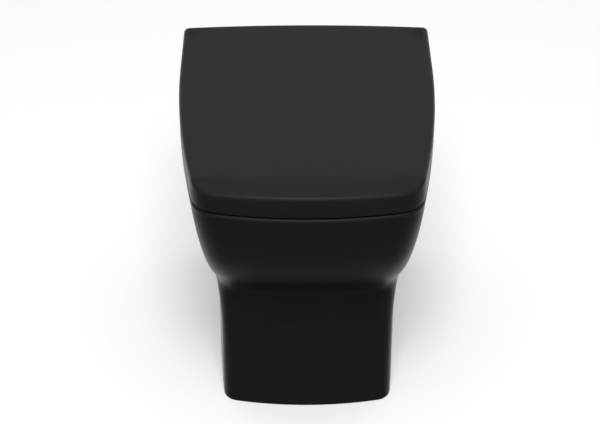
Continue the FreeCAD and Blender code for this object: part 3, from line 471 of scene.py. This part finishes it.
def through(table: Sequence[Sequence[float]], at: float) -> list[float]:
    """Smooth curve through the rows of a table, whose first column rises.

    Args:
        table: rows of position and values.
        at: the position wanted.

    Returns:
        The values there.
    """
    rows = list(table)
    if at <= rows[0][0]:
        return list(rows[0][1:])
    if at >= rows[-1][0]:
        return list(rows[-1][1:])
    k = next(i for i in range(len(rows) - 1) if rows[i][0] <= at <= rows[i + 1][0])
    span = rows[k + 1][0] - rows[k][0]
    share = (at - rows[k][0]) / span

    def slope(i: int, column: int) -> float:
        """Slope of a column at row i, from its neighbours."""
        low, high = max(i - 1, 0), min(i + 1, len(rows) - 1)
        return (rows[high][column] - rows[low][column]) / (rows[high][0] - rows[low][0])

    values = []
    for column in range(1, len(rows[0])):
        a, b = rows[k][column], rows[k + 1][column]
        m0, m1 = slope(k, column) * span, slope(k + 1, column) * span
        s2, s3 = share * share, share ** 3
        values.append((2 * s3 - 3 * s2 + 1) * a + (s3 - 2 * s2 + share) * m0
                      + (3 * s2 - 2 * s3) * b + (s3 - s2) * m1)
    return values


# ---------------------------------------------------------------- plan shapes

@dataclass(frozen=True)
class Outline:
    """Plan of the rim: shallow front arc, round corners, bowed sides, straight rear, in metres."""

    half: float
    front: float
    back: float
    straight: float
    front_r: float
    corner_r: float
    side_r: float
    back_r: float = 0.0
    counts: tuple[int, int, int, int, int, int] = (40, 14, 36, 14, 6, 40)

    def points(self) -> list[tuple[Vector, Vector]]:
        """Points and outward directions once round, from the middle of the front towards +X."""
        n_front, n_corner, n_side, n_straight, n_turn, n_back = self.counts
        bow_y = self.back - self.straight
        front_c = Vector((0, self.front + self.front_r, 0))
        side_c = Vector((self.half - self.side_r, bow_y, 0))
        gap = side_c - front_c
        r1, r2 = self.front_r - self.corner_r, self.side_r - self.corner_r
        along = (r1 * r1 - r2 * r2 + gap.length_squared) / (2 * gap.length)
        unit = gap.normalized()
        corner_c = front_c + unit * along + Vector((-unit.y, unit.x, 0)) * math.sqrt(r1 * r1 - along * along)
        a_front = math.atan2(corner_c.y - front_c.y, corner_c.x - front_c.x)
        a_side = math.atan2(corner_c.y - side_c.y, corner_c.x - side_c.x)
        right = QUARTER
        half: list[tuple[Vector, Vector]] = []

        def arc(centre: Vector, radius: float, start: float, end: float, count: int) -> None:
            """Append an arc without its last point."""
            for i in range(count):
                angle = start + (end - start) * i / count
                way = Vector((math.cos(angle), math.sin(angle), 0))
                half.append((centre + way * radius, way))

        arc(front_c, self.front_r, -right, a_front, n_front // 2)
        arc(corner_c, self.corner_r, a_front, a_side, n_corner)
        arc(side_c, self.side_r, a_side, 0, n_side)
        side_end = self.back - self.back_r
        for i in range(n_straight):
            y = bow_y + (side_end - bow_y) * i / n_straight
            half.append((Vector((self.half, y, 0)), Vector((1, 0, 0))))
        if self.back_r:
            arc(Vector((self.half - self.back_r, side_end, 0)), self.back_r, 0, right, n_turn)
            reach, way = self.half - self.back_r, Vector((0, 1, 0))
        else:
            half.append((Vector((self.half, self.back, 0)), Vector((1, 0, 0))))
            reach, way = self.half * (1 - 1 / n_back), Vector((0, 0, 0))
        for i in range(n_back // 2):
            half.append((Vector((reach * (1 - 2 * i / n_back), self.back, 0)), way))
        middle = (Vector((0, self.back, 0)), way)
        mirrored = [(Vector((-p.x, p.y, 0)), Vector((-n.x, n.y, 0))) for p, n in reversed(half[1:])]
        return [*half, middle, *mirrored]


def inset_ring(outline: Iterable[tuple[Vector, Vector]], inset: float, z: float | Callable) -> list[Vector]:
    """The outline drawn in by an amount, at a height or at the height that a function of the point gives."""
    ring = []
    for point, way in outline:
        spot = point - way * inset
        spot.z = z(spot) if callable(z) else z
        ring.append(spot)
    return ring


@dataclass(frozen=True)
class Opening:
    """Rectangle with large round corners, in metres."""

    half: float
    front: float
    back: float
    corner: float

    def at(self, angle: float) -> Vector:
        """The point of the outline in this direction from its middle."""
        dx, dy = math.cos(angle), math.sin(angle)
        w, h, r = self.half, (self.back - self.front) / 2, self.corner
        side = w / max(abs(dx), 1e-9)
        end = h / max(abs(dy), 1e-9)
        if abs(dy * side) <= h - r:
            reach = side
        elif abs(dx * end) <= w - r:
            reach = end
        else:
            cx, cy = (w - r) * math.copysign(1, dx), (h - r) * math.copysign(1, dy)
            dot = dx * cx + dy * cy
            reach = dot + math.sqrt(max(dot * dot - (cx * cx + cy * cy - r * r), 0))
        return Vector((dx * reach, dy * reach + (self.back + self.front) / 2, 0))

    def grown(self, wall: float) -> "Opening":
        """The same shape with its outline moved outwards."""
        return Opening(self.half + wall, self.front - wall, self.back + wall, self.corner + wall)

    def ring(self, angles: Iterable[float], z: float) -> list[Vector]:
        """Points in these directions, at a height."""
        return [self.at(angle) + Vector((0, 0, z)) for angle in angles]


RIM = Outline(0.180, -0.245, 0.245, 0.160, 0.583, 0.045, 1.512)
BOW_Y = 0.085


def ring_angles(ring: Iterable[Vector], middle_y: float) -> list[float]:
    """Directions of a ring's points from a point on the middle line."""
    return [math.atan2(point.y - middle_y, point.x) for point in ring]


def blend_rings(one: Sequence[Vector], other: Sequence[Vector], share: float) -> list[Vector]:
    """A ring between two rings."""
    return [a.lerp(b, share) for a, b in zip(one, other)]


# ---------------------------------------------------------------- the pan

@dataclass
class Pan:
    """The china casting."""

    rim_z: float = 0.400
    pedestal_z: float = 0.140
    pedestal_half: float = 0.132
    setback: float = 0.098
    pedestal_front_r: float = 0.500
    pedestal_corner_r: float = 0.024
    corner_fade: float = 0.16
    pedestal_side_r: float = 2.000
    wall: float = 0.012
    deck: float = 0.024
    rim_round: float = 0.006
    basin_floor: float = 0.118
    basin_wall: float = 0.010
    basin_round: float = 0.005
    basin: Opening = Opening(0.133, -0.203, 0.085, 0.097)
    flank: tuple = ((0.140, 0, 1), (0.170, 0.04, 1.012), (0.195, 0.101, 1.03), (0.208, 0.152, 0.995),
                    (0.224, 0.229, 0.87), (0.240, 0.312, 0.72), (0.262, 0.435, 0.51), (0.300, 0.634, 0.26),
                    (0.340, 0.822, 0.11), (0.376, 0.948, 0.03), (0.400, 1, 0))
    bowl: tuple = ((0, 0.29, 0.74), (0.11, 0.35, 0.66), (0.24, 0.48, 0.52), (0.40, 0.67, 0.31),
                   (0.57, 0.85, 0.13), (0.75, 0.96, 0.03), (0.91, 1, 0), (1, 1, 0))
    outlet_z: float = 0.180
    outlet_y: float = 0.230
    outlet_r: float = 0.051
    outlet_length: float = 0.034
    outlet_bore: float = 0.042
    trap_r: float = 0.029
    trap_wall: float = 0.009
    weir: tuple = (0.115, 0.176, 0.046)
    low_bend: tuple = (0.196, 0.222, 0.042)
    sump: tuple = (0.045, 0.147)
    inlet_z: float = 0.335
    inlet_y: float = 0.140
    inlet_r: float = 0.0275
    inlet_wall: float = 0.009
    inlet_depth: float = 0.034
    flush_r: float = 0.018
    side_hole: tuple = (0.180, 0.045, 0.008)
    hinge_hole: tuple = (0.0775, 0.158, 0.007)
    side_span: tuple = (0.100, 0.150)
    hinge_span: tuple = (0.360, 0.410)
    beyond: float = 0.002
    bore_start: float = -0.020
    outlet_reach: float = 0.027
    flush_reach: float = 0.070
    inlet_boss: float = 0.050

    def section(self, z: float, inset: float = 0.0, beyond: float = 0.0) -> Outline:
        """Plan of the outside at a height, or of the hollow that lies inset from it."""
        flare, moved = through(self.flank, z)
        sharp = (1 - min(1.0, flare / self.corner_fade)) ** 2
        bow = 1 / self.pedestal_side_r + (1 / RIM.side_r - 1 / self.pedestal_side_r) * flare
        return Outline(
            self.pedestal_half + (RIM.half - self.pedestal_half) * flare - inset,
            RIM.front + self.setback * moved + inset, RIM.back + beyond, RIM.straight + beyond,
            self.pedestal_front_r + (RIM.front_r - self.pedestal_front_r) * flare - inset,
            RIM.corner_r - (RIM.corner_r - self.pedestal_corner_r) * sharp - inset,
            1 / bow - inset)

    def heights(self, top: float) -> list[float]:
        """Heights of the rings up the flank, close together where it curves."""
        up = [0.0008, 0.003, 0.05, 0.10]
        steps = 44
        return up + [self.pedestal_z + (top - self.pedestal_z) * i / steps for i in range(steps + 1)]

    def basin_level(self, rise: float) -> Opening:
        """The basin's plan at a share of its depth."""
        width, moved = through(self.bowl, rise)
        length = self.basin.back - self.basin.front
        return Opening(self.basin.half * width, self.basin.front + length * moved, self.basin.back,
                       self.basin.corner * width)

    def basin_rings(self, angles: Sequence[float], top: float, wall: float, first: int) -> list[list[Vector]]:
        """Rings of the basin from the top down, on its inside or a wall further out."""
        rings = []
        steps = 30
        for i in range(first, steps + 1):
            rise = 1 - i / steps
            z = self.basin_floor + (top - self.basin_floor) * rise
            share = (z - self.basin_floor) / (self.rim_z - self.basin_floor)
            level = self.basin_level(share)
            rings.append((level.grown(wall) if wall else level).ring(angles, z - (wall if i == steps else 0)))
        floor = rings[-1]
        middle = sum(floor, Vector()) / len(floor)
        rings += [blend_rings(floor, [middle] * len(floor), share) for share in (0.12, 0.4, 0.7)]
        return rings

    def outside(self) -> bpy.types.Object:
        """The casting as a solid block with its basin."""
        lip = 0.0015
        rings = [inset_ring(self.section(0).points(), lip, 0.0)]
        rings.append(inset_ring(self.section(0).points(), lip * 0.3, lip * 0.3))
        top = self.rim_z - self.rim_round
        for z in self.heights(top):
            rings.append(inset_ring(self.section(z).points(), 0, max(z, lip)))
        rim = self.section(self.rim_z).points()
        for i in range(1, 7):
            angle = QUARTER * i / 6
            drawn = self.rim_round * (1 - math.cos(angle))
            rings.append(inset_ring(rim, drawn, top + self.rim_round * math.sin(angle)))
        edge = rings[-1]
        angles = ring_angles(edge, (self.basin.front + self.basin.back) / 2)
        mouth = self.basin.grown(self.basin_round).ring(angles, self.rim_z)
        rings += [blend_rings(edge, mouth, share) for share in (0.03, 0.2, 0.5, 0.8, 0.97, 1)]
        for i in range(1, 6):
            angle = QUARTER * i / 5
            grown = self.basin_round * (1 - math.sin(angle))
            z = self.rim_z - self.basin_round * (1 - math.cos(angle))
            rings.append(self.basin.grown(grown).ring(angles, z))
        rings += self.basin_rings(angles, self.rim_z - self.basin_round, 0, 1)
        return finish_mesh(skin(rings), "pan_glaze", Finish.GLAZE.get())

    def trap_rings(self, radius: float, ends: float) -> list[list[Vector]]:
        """Rings along the trap's centre line: outlet, low bend, weir bend, sump."""
        line: list[tuple[float, float, float]] = []
        (wy, wz, wr), (ly, lz, lr) = self.weir, self.low_bend
        between = Vector((wy - ly, wz - lz))
        climb = math.atan2(between.y, between.x) - math.asin((lr + wr) / between.length) + ROUND
        down = Vector((self.sump[0] - wy, self.sump[1] - wz))
        fall = math.atan2(down.y, down.x) + math.asin(wr / down.length) + ROUND
        line.append((self.outlet_y + ends, self.outlet_z, math.pi))
        steps = 18
        for i in range(steps + 1):
            heading = math.pi + (climb - math.pi) * i / steps
            out = heading + QUARTER
            line.append((ly + lr * math.cos(out), lz + lr * math.sin(out), heading))
        for i in range(steps + 1):
            heading = climb + (fall - climb) * i / steps
            out = heading - QUARTER
            line.append((wy + wr * math.cos(out), wz + wr * math.sin(out), heading))
        line.append((*self.sump, fall))
        rings = []
        for y, z, heading in line:
            across, up = Vector((1, 0, 0)), Vector((0, -math.sin(heading), math.cos(heading)))
            ring = []
            for k in range(48):
                turn = ROUND * k / 48
                ring.append(Vector((0, y, z)) + (across * math.cos(turn) + up * math.sin(turn)) * radius)
            rings.append(ring)
        return rings

    def void(self) -> bpy.types.Object:
        """The hollow behind the skirt, less what stands in it."""
        top = self.rim_z - self.deck
        rings = []
        for z in [-0.002, *self.heights(top)[1:]]:
            rings.append(inset_ring(self.section(max(z, 0), self.wall, 0.001).points(), 0, z))
        hollow = finish_mesh(skin(rings), "hollow", Finish.GLAZE.get())
        angles = [ROUND * i / 160 for i in range(160)]
        basin = finish_mesh(skin(self.basin_rings(angles, self.rim_z - self.deck / 2, self.basin_wall, 0)),
                            "basin", Finish.GLAZE.get())
        carve(hollow, basin)
        trap = finish_mesh(skin(self.trap_rings(self.trap_r + self.trap_wall, 0)), "trap", Finish.GLAZE.get())
        carve(hollow, trap)
        back = Vector((0, self.outlet_y, self.outlet_z))
        carve(hollow, tube(back, back - Vector((0, self.outlet_length, 0)), self.outlet_r, 96))
        boss = Vector((0, self.inlet_y, self.inlet_z))
        carve(hollow, tube(boss, boss - Vector((0, self.inlet_boss, 0)), self.inlet_r + self.inlet_wall, 72))
        return hollow

    def build(self) -> bpy.types.Object:
        """Model the casting.

        Returns:
            The finished object, riding on the pan.
        """
        pan = self.outside()
        carve(pan, self.void())
        bore = skin(self.trap_rings(self.trap_r, self.bore_start))
        carve(pan, finish_mesh(bore, "trap_bore", Finish.GLAZE.get()))
        back = Vector((0, self.outlet_y + self.beyond, self.outlet_z))
        carve(pan, tube(back, back - Vector((0, self.outlet_reach, 0)), self.outlet_bore, 96))
        mouth = Vector((0, self.inlet_y + self.beyond, self.inlet_z))
        carve(pan, tube(mouth, mouth - Vector((0, self.inlet_depth + self.beyond, 0)), self.inlet_r, 72))
        carve(pan, tube(mouth, mouth - Vector((0, self.flush_reach, 0)), self.flush_r, 48))
        for side in (-1, 1):
            y, z, r = self.side_hole
            inner, outer = self.side_span
            carve(pan, tube(Vector((side * inner, y, z)), Vector((side * outer, y, z)), r, 40))
            x, y, r = self.hinge_hole
            low, high = self.hinge_span
            carve(pan, tube(Vector((side * x, y, low)), Vector((side * x, y, high)), r, 32))
        tidy_surface(pan)
        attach(pan, "pan")
        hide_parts("pan")
        LOG.info("pan: %d faces", len(pan.data.polygons))
        return pan


# ---------------------------------------------------------------- the seat

@dataclass
class Seat:
    """The moulded seat ring."""

    low: float = 0.406
    high: float = 0.423
    inset: float = 0.0075
    back: float = 0.174
    back_r: float = 0.004
    edge: float = 0.005
    under_edge: float = 0.002
    crown: float = 0.0012
    opening: Opening = Opening(0.107, -0.1755, 0.0965, 0.092)
    notch: tuple = (0.0635, 0.0915, 0.146, 0.190)

    def build(self) -> bpy.types.Object:
        """Model the ring.

        Returns:
            The ring, riding on the seat.
        """
        plan = Outline(RIM.half - self.inset, RIM.front + self.inset, self.back, self.back - BOW_Y,
                       RIM.front_r - self.inset, RIM.corner_r - self.inset, RIM.side_r - self.inset,
                       self.back_r)
        outer = plan.points()
        angles = ring_angles([p for p, _ in outer], (self.opening.front + self.opening.back) / 2)
        rings = []
        quarter = [QUARTER * i / 6 for i in range(7)]
        u = self.under_edge
        for a in quarter:
            rings.append(inset_ring(outer, u * (1 - math.sin(a)), self.low + u * (1 - math.cos(a))))
        rings.append(inset_ring(outer, 0, (self.low + self.high) / 2))
        flat = self.high - self.crown
        for a in quarter:
            z = flat - self.edge * (1 - math.sin(a))
            rings.append(inset_ring(outer, self.edge * (1 - math.cos(a)), z))
        last = rings[-1]
        inner = self.opening.grown(self.edge).ring(angles, flat)
        for share in (0.06, 0.16, 0.3, 0.45, 0.6, 0.75, 0.88, 0.96, 1):
            ring = blend_rings(last, inner, share)
            lift = self.crown * math.sin(math.pi * share) ** 0.8 if share < 1 else 0
            rings.append([point + Vector((0, 0, lift)) for point in ring])
        for a in quarter[1:]:
            rings.append(self.opening.grown(self.edge * (1 - math.sin(a))).ring(
                angles, flat - self.edge * (1 - math.cos(a))))
        rings.append(self.opening.ring(angles, (self.low + self.high) / 2))
        for a in quarter:
            z = self.low + u * (1 - math.sin(a))
            rings.append(self.opening.grown(u * (1 - math.cos(a))).ring(angles, z))
        rings.append(rings[0])
        ring = finish_mesh(skin(rings), "seat_moulding", Finish.DUROPLAST.get())
        x0, x1, y0, y1 = self.notch
        for side in (-1, 1):
            xs = sorted((side * x0, side * x1))
            carve(ring, slab(Vector((xs[0], y0, self.low - 0.01)), Vector((xs[1], y1, self.high + 0.01))))
        tidy_surface(ring)
        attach(ring, "seat")
        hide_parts("seat_ring")
        return ring


# ---------------------------------------------------------------- the lid

@dataclass
class Lid:
    """The wrap-over lid: thin shell with a crowned top that rolls down to a crisp edge."""

    low: float = 0.4030
    top: float = 0.441
    crown: float = 0.0045
    back: float = 0.201
    back_r: float = 0.008
    counts: tuple = (56, 16, 40, 14, 8, 120)
    wall: float = 0.005
    plate: float = 0.0045
    lip_rounds: tuple = (0.0008, 0.0006)
    root: float = 0.003
    edge: float = 0.0035
    roll: float = 0.0090
    side_roll: float = 0.0018
    roll_width: float = 0.034
    side_roll_width: float = 0.009
    axis: tuple = (0.186, 0.427)
    swing: float = 0.0248
    rear_edge: float = 0.429
    notch: tuple = (0.0635, 0.0915)
    pads: tuple = (0.089, 0.105, 0.136, 0.1934, 0.43445, 0.4375)
    bosses: tuple = (0.140, (-0.155, 0.085), 0.432, 0.436, 0.008)

    def height(self, spot: Vector) -> float:
        """Height of the crowned top, before its edge rolls down."""
        return self.top - self.crown * (spot.x / RIM.half) ** 2

    def fall(self, way: Vector, inset: float) -> float:
        """How far the top has rolled down, this far in from the edge: most along the front."""
        front = ease((-way.y - 0.25) / 0.6)
        width = self.side_roll_width + (self.roll_width - self.side_roll_width) * front
        depth = self.side_roll + (self.roll - self.side_roll) * front
        return depth * max(0.0, 1 - inset / width) ** 2

    def lip(self, spot: Vector, way: Vector) -> float:
        """Height of the wall's lower edge: level, rising round the hinge and cut away along the rear."""
        y, z = self.axis
        low = self.low
        if spot.y > y:
            low = max(low, z - math.sqrt(self.swing ** 2 - (spot.y - y) ** 2))
        if way.y > 0.6:
            low = self.rear_edge
            if self.notch[0] < abs(spot.x) < self.notch[1]:
                low = self.height(spot) - self.plate - 0.0002
        return low

    def build(self) -> bpy.types.Object:
        """Model the lid.

        Returns:
            The lid, riding on its own body.
        """
        plan = Outline(RIM.half, RIM.front, self.back, self.back - BOW_Y, RIM.front_r, RIM.corner_r,
                       RIM.side_r, self.back_r, self.counts).points()

        def rolled(point: Vector, way: Vector, inset: float) -> Vector:
            """A point of the top, this far in from the edge."""
            spot = point - way * inset
            drop = self.fall(way, inset)
            if inset < self.edge:
                drop += self.edge - math.sqrt(self.edge ** 2 - (self.edge - inset) ** 2)
            spot.z = self.height(spot) - drop
            return spot

        insets = [self.edge * (1 - math.cos(QUARTER * i / 7)) for i in range(8)]
        insets += [0.0045, 0.006, 0.008, 0.011, 0.015, 0.020, 0.026, 0.033, 0.040]
        top = [[rolled(p, n, inset) for p, n in plan] for inset in insets]
        rings = list(reversed(top))
        inner = top[-1]
        core = [Vector((0, min(max(p.y, -0.10), 0.10), 0)) for p in inner]

        def toward_core(ring: Sequence[Vector], share: float, height: Callable) -> list[Vector]:
            """The ring drawn towards the middle line, back at the height that the function gives."""
            made = []
            for point, heart in zip(ring, core):
                spot = point.lerp(heart, share)
                spot.z = height(spot)
                made.append(spot)
            return made

        shares = (0.12, 0.25, 0.4, 0.55, 0.7, 0.85, 1.0)
        rings = [toward_core(inner, share, self.height) for share in reversed(shares)] + rings
        lips = [self.lip(p, n) for p, n in plan]
        rim = rings[-1]
        lip_r, inner_r = self.lip_rounds
        for share in (0.35, 0.75):
            rings.append([Vector((q.x, q.y, q.z + (low + lip_r - q.z) * share))
                          for q, low in zip(rim, lips)])
        for inset, up in ((0, lip_r), (0.0003, 0.0002), (lip_r, 0)):
            rings.append([p - n * inset + Vector((0, 0, low + up)) for (p, n), low in zip(plan, lips)])
        wall, plate = self.wall, self.plate
        rings.append([p - n * (wall - inner_r) + Vector((0, 0, low)) for (p, n), low in zip(plan, lips)])
        under = [p - n * wall for p, n in plan]
        sunk = [self.fall(n, wall) if n.y < 0.6 else 0.0 for _, n in plan]
        below = [self.height(q) - plate - fall for q, fall in zip(under, sunk)]
        feet = [min(low + inner_r, z) for low, z in zip(lips, below)]
        rings.append([Vector((q.x, q.y, foot)) for q, foot in zip(under, feet)])
        rings.append([Vector((q.x, q.y, max(z - self.root, foot))) for q, foot, z in zip(under, feet, below)])
        rings.append([p - n * (wall + 0.002) for p, n in plan])
        for spot, fall in zip(rings[-1], sunk):
            spot.z = self.height(spot) - plate - fall
        last = [p - n * 0.040 for p, n in plan]
        rings += [toward_core(last, share, lambda spot: self.height(spot) - plate) for share in (0, *shares)]
        bm = skin(rings)
        lid = finish_mesh(bm, "lid_shell", Finish.DUROPLAST.get())
        x0, x1, y0, y1, z0, z1 = self.pads
        for side in (-1, 1):
            xs = sorted((side * x0, side * x1))
            join(lid, slab(Vector((xs[0], y0, z0)), Vector((xs[1], y1, z1))))
            spread, ys, low, high, radius = self.bosses
            for y in ys:
                join(lid, tube(Vector((side * spread, y, low)), Vector((side * spread, y, high)), radius, 32))
        tidy_surface(lid)
        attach(lid, "lid")
        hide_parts("lid")
        return lid


# ---------------------------------------------------------------- hinges, fixings and studio

@dataclass
class Hardware:
    """Everything that keeps its CAD mesh: hinges, dampers, buffers, seal, brackets and their screws."""

    finishes: dict = field(default_factory=lambda: {
        "inlet_seal": (Finish.SEAL, 0.0004),
        "floor_bracket_left": (Finish.NYLON, 0.0006), "floor_bracket_right": (Finish.NYLON, 0.0006),
        "side_sleeves": (Finish.NYLON, 0), "side_screws": (Finish.BRIGHT, 0.0002),
        "side_caps": (Finish.PLASTIC, 0.0006), "fixing_bungs": (Finish.SEAL, 0.0002),
        "bung_nuts": (Finish.NYLON, 0.0002), "hinge_studs": (Finish.BRIGHT, 0.0002),
        "hinge_bases": (Finish.COATING, 0.0004), "hinge_post_left": (Finish.COATING, 0.0006),
        "hinge_post_right": (Finish.COATING, 0.0006), "seat_damper_shaft": (Finish.BRIGHT, 0.0002),
        "lid_damper_shaft": (Finish.BRIGHT, 0.0002), "seat_damper_barrel": (Finish.PLASTIC, 0.0002),
        "lid_damper_barrel": (Finish.PLASTIC, 0.0002), "seat_hinge_left": (Finish.LEAF, 0.0003),
        "seat_hinge_right": (Finish.LEAF, 0.0003), "lid_hinge_left": (Finish.LEAF, 0.0003),
        "lid_hinge_right": (Finish.LEAF, 0.0003), "seat_hinge_screws": (Finish.BRIGHT, 0.0003),
        "lid_hinge_screws": (Finish.BRIGHT, 0.0003), "seat_buffers": (Finish.BUFFER, 0.0006),
        "lid_buffers": (Finish.BUFFER, 0.0006),
    })

    def dress(self) -> None:
        """Give every node its finish."""
        for name, (finish, edge) in self.finishes.items():
            dress_node(name, finish, edge)


@dataclass
class Studio:
    """Pale floor, white surroundings and the camera."""

    floor_size: float = 60.0
    floor_glow: float = 0.20
    sky: float = 0.68
    below: float = 0.32
    behind: float = 1.9
    overhead: float = 12
    front: float = 68
    camera_at: tuple[float, float, float] = (-0.020, -2.0691, 1.6907)
    pitch: float = 55.0
    yaw: float = -0.2865
    lens: float = 104.52

    def build(self) -> None:
        """Make the floor, the light and the camera."""
        bm = bmesh.new()
        bmesh.ops.create_grid(bm, x_segments=1, y_segments=1, size=self.floor_size / 2)
        graph = Graph(bpy.data.materials.new("studio_floor"))
        floor = finish_mesh(bm, "studio_floor", graph.surface(
            Base_Color=(0.74, 0.74, 0.74, 1), Roughness=0.9, Specular_IOR_Level=0.0,
            Emission_Color=(1, 1, 1, 1), Emission_Strength=self.floor_glow))
        floor.visible_diffuse = False
        floor.visible_glossy = False
        bpy.context.scene.world = self.surround()
        self.light("overhead", (0, 0.3, 3.2), (0, 0, 0), 3.0, self.overhead)
        self.light("front", (0, -1.9, 2.9), (0, 0, 0.2), 0.9, self.front)
        camera = bpy.data.objects.new("camera", bpy.data.cameras.new("camera"))
        camera.location = self.camera_at
        camera.rotation_euler = (math.radians(self.pitch), 0, math.radians(self.yaw))
        camera.data.lens = self.lens
        camera.data.sensor_width = 36
        bpy.context.scene.collection.objects.link(camera)
        bpy.context.scene.camera = camera
        bpy.context.scene.view_settings.view_transform = "Standard"

    def surround(self) -> bpy.types.World:
        """White surroundings: bright above and low down behind, dim low down in front."""
        world = bpy.data.worlds.new("studio")
        graph = Graph(world)
        toward = graph.node("ShaderNodeTexCoord").outputs["Generated"]
        way = graph.node("ShaderNodeSeparateXYZ", None, {0: toward})
        up = Signal(graph, way.outputs["Z"]).between(-0.12, 0.30)
        back = Signal(graph, way.outputs["Y"]).between(0.10, 0.70)
        strength = up * self.sky + (1 - up) * (back * (self.behind - self.below) + self.below)
        lit = graph.node("ShaderNodeBackground", None, {"Color": (1, 1, 1, 1), "Strength": strength})
        graph.node("ShaderNodeOutputWorld", None, {"Surface": lit.outputs[0]})
        return world

    def light(self, name: str, at: tuple, aim: tuple, size: float, power: float) -> None:
        """A square softbox that looks at a point."""
        lamp = bpy.data.lights.new(name, "AREA")
        lamp.size = size
        lamp.energy = power
        box = bpy.data.objects.new(name, lamp)
        box.location = at
        box.rotation_euler = (Vector(aim) - Vector(at)).to_track_quat("-Z", "Y").to_euler()
        bpy.context.scene.collection.objects.link(box)


def main() -> None:
    """Build every sub-assembly and report it."""
    logging.basicConfig(level=logging.INFO)
    for part in (Pan(), Seat(), Lid()):
        piece = part.build()
        LOG.info("%s: %d faces", piece.name, len(piece.data.polygons))
    Hardware().dress()
    Studio().build()


if __name__ == "__main__":
    main()
